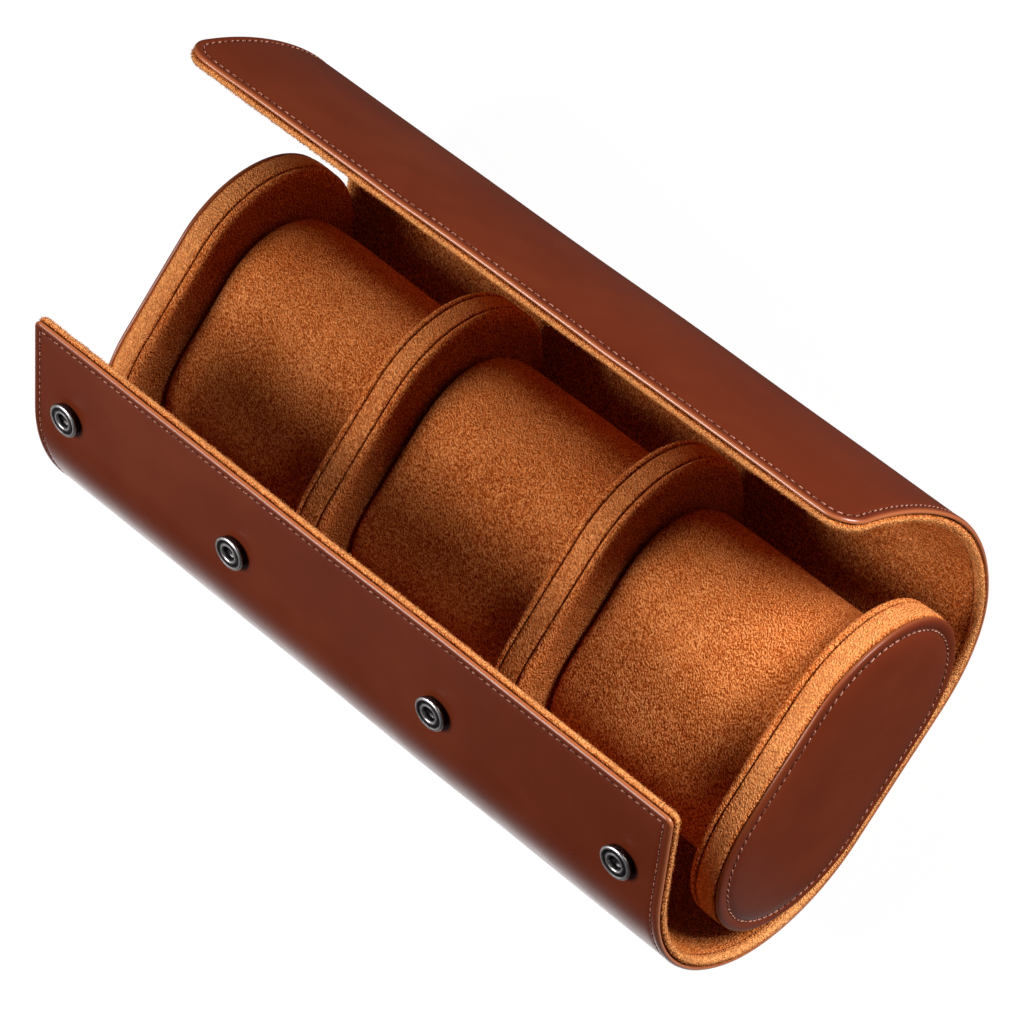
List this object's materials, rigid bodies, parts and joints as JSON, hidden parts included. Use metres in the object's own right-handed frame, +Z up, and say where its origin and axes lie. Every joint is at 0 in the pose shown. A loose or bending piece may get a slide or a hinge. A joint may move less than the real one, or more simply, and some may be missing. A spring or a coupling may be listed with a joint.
{
  "type": "watch storage case",
  "caption": "Leather watch roll with a suede lining, oval end panels, dividers and lift-out cushions, closed by a wrap-over lid on press snaps.",
  "frame": {"origin": "on the floor under the middle of the oval panels", "axes": "+X along the roll, +Y to the back where the lid opens, +Z up"},
  "size_m": [0.201, 0.118, 0.0991],
  "materials": {
    "brown_leather": "polished",
    "tan_suede": "suede nap",
    "suede_cushion": "suede nap over foam",
    "board": "matte",
    "gunmetal": "blackened"
  },
  "bodies": {
    "base": {"base_leather": "brown_leather", "base_lining": "tan_suede", "left_end_leather": "brown_leather", "left_end_core": "board", "left_end_lining": "tan_suede", "left_end_band": "tan_suede", "right_end_leather": "brown_leather", "right_end_core": "board", "right_end_lining": "tan_suede", "right_end_band": "tan_suede", "left_divider_core": "board", "left_divider_left_face": "tan_suede", "left_divider_right_face": "tan_suede", "left_divider_band": "tan_suede", "right_divider_core": "board", "right_divider_left_face": "tan_suede", "right_divider_right_face": "tan_suede", "right_divider_band": "tan_suede", "front_bend_1_leather": "brown_leather", "front_bend_1_lining": "tan_suede", "lid_bend_1_leather": "brown_leather", "lid_bend_1_lining": "tan_suede"},
    "front_low": {"front_low_leather": "brown_leather", "front_low_lining": "tan_suede", "front_bend_2_leather": "brown_leather", "front_bend_2_lining": "tan_suede"},
    "front_up": {"front_up_leather": "brown_leather", "front_up_lining": "tan_suede", "front_bend_3_leather": "brown_leather", "front_bend_3_lining": "tan_suede"},
    "front_flap": {"front_flap_leather": "brown_leather", "front_flap_lining": "tan_suede", "snap_sockets": "gunmetal", "snap_socket_rivets": "gunmetal"},
    "lid_low": {"lid_low_leather": "brown_leather", "lid_low_lining": "tan_suede", "lid_bend_2_leather": "brown_leather", "lid_bend_2_lining": "tan_suede"},
    "lid_back": {"lid_back_leather": "brown_leather", "lid_back_lining": "tan_suede", "lid_bend_3_leather": "brown_leather", "lid_bend_3_lining": "tan_suede"},
    "lid_top": {"lid_top_leather": "brown_leather", "lid_top_lining": "tan_suede", "lid_bend_4_leather": "brown_leather", "lid_bend_4_lining": "tan_suede"},
    "lid_end": {"lid_end_leather": "brown_leather", "lid_end_lining": "tan_suede", "snap_studs": "gunmetal", "snap_stud_anchors": "gunmetal"},
    "left_cushion": {"left_cushion": "suede_cushion"},
    "middle_cushion": {"middle_cushion": "suede_cushion"},
    "right_cushion": {"right_cushion": "suede_cushion"}
  },
  "joints": [
    {"name": "front_bend_1", "type": "hinge", "parent": "base", "child": "front_low", "pos_m": [0, -0.04004, 0.01149], "axis": [1, 0, 0], "range_deg": [-14.3, 10], "deforming": ["front_bend_1_leather", "front_bend_1_lining"]},
    {"name": "front_bend_2", "type": "hinge", "parent": "front_low", "child": "front_up", "pos_m": [0, -0.05081, 0.03747], "axis": [1, 0, 0], "range_deg": [-12.65, 8.86], "deforming": ["front_bend_2_leather", "front_bend_2_lining"]},
    {"name": "front_bend_3", "type": "hinge", "parent": "front_up", "child": "front_flap", "pos_m": [0, -0.04248, 0.06672], "axis": [1, 0, 0], "range_deg": [-13.85, 9.7], "deforming": ["front_bend_3_leather", "front_bend_3_lining"]},
    {"name": "lid_bend_1", "type": "hinge", "parent": "base", "child": "lid_low", "pos_m": [0, 0.02227, 0.00171], "axis": [-1, 0, 0], "range_deg": [-14.56, 7.2], "deforming": ["lid_bend_1_leather", "lid_bend_1_lining"]},
    {"name": "lid_bend_2", "type": "hinge", "parent": "lid_low", "child": "lid_back", "pos_m": [0, 0.04541, 0.01213], "axis": [-1, 0, 0], "range_deg": [-16.05, 7.96], "deforming": ["lid_bend_2_leather", "lid_bend_2_lining"]},
    {"name": "lid_bend_3", "type": "hinge", "parent": "lid_back", "child": "lid_top", "pos_m": [0, 0.0597, 0.03513], "axis": [-1, 0, 0], "range_deg": [-20.37, 10.1], "deforming": ["lid_bend_3_leather", "lid_bend_3_lining"]},
    {"name": "lid_bend_4", "type": "hinge", "parent": "lid_top", "child": "lid_end", "pos_m": [0, 0.06387, 0.06202], "axis": [-1, 0, 0], "range_deg": [-20.72, 10.27], "deforming": ["lid_bend_4_leather", "lid_bend_4_lining"]},
    {"name": "left_cushion_lift", "type": "slide", "parent": "base", "child": "left_cushion", "axis": [0, 0.2846, 0.9587], "range_m": [0, 0.09]},
    {"name": "middle_cushion_lift", "type": "slide", "parent": "base", "child": "middle_cushion", "axis": [0, 0.2846, 0.9587], "range_m": [0, 0.09]},
    {"name": "right_cushion_lift", "type": "slide", "parent": "base", "child": "right_cushion", "axis": [0, 0.2846, 0.9587], "range_m": [0, 0.09]}
  ],
  "couplings": [
    {"joint": "front_bend_2", "follows": "front_bend_1", "ratio": 0.88112},
    {"joint": "front_bend_3", "follows": "front_bend_1", "ratio": 0.96503},
    {"joint": "lid_bend_2", "follows": "lid_bend_1", "ratio": 1.0989},
    {"joint": "lid_bend_3", "follows": "lid_bend_1", "ratio": 1.3955},
    {"joint": "lid_bend_4", "follows": "lid_bend_1", "ratio": 1.4198}
  ]
}
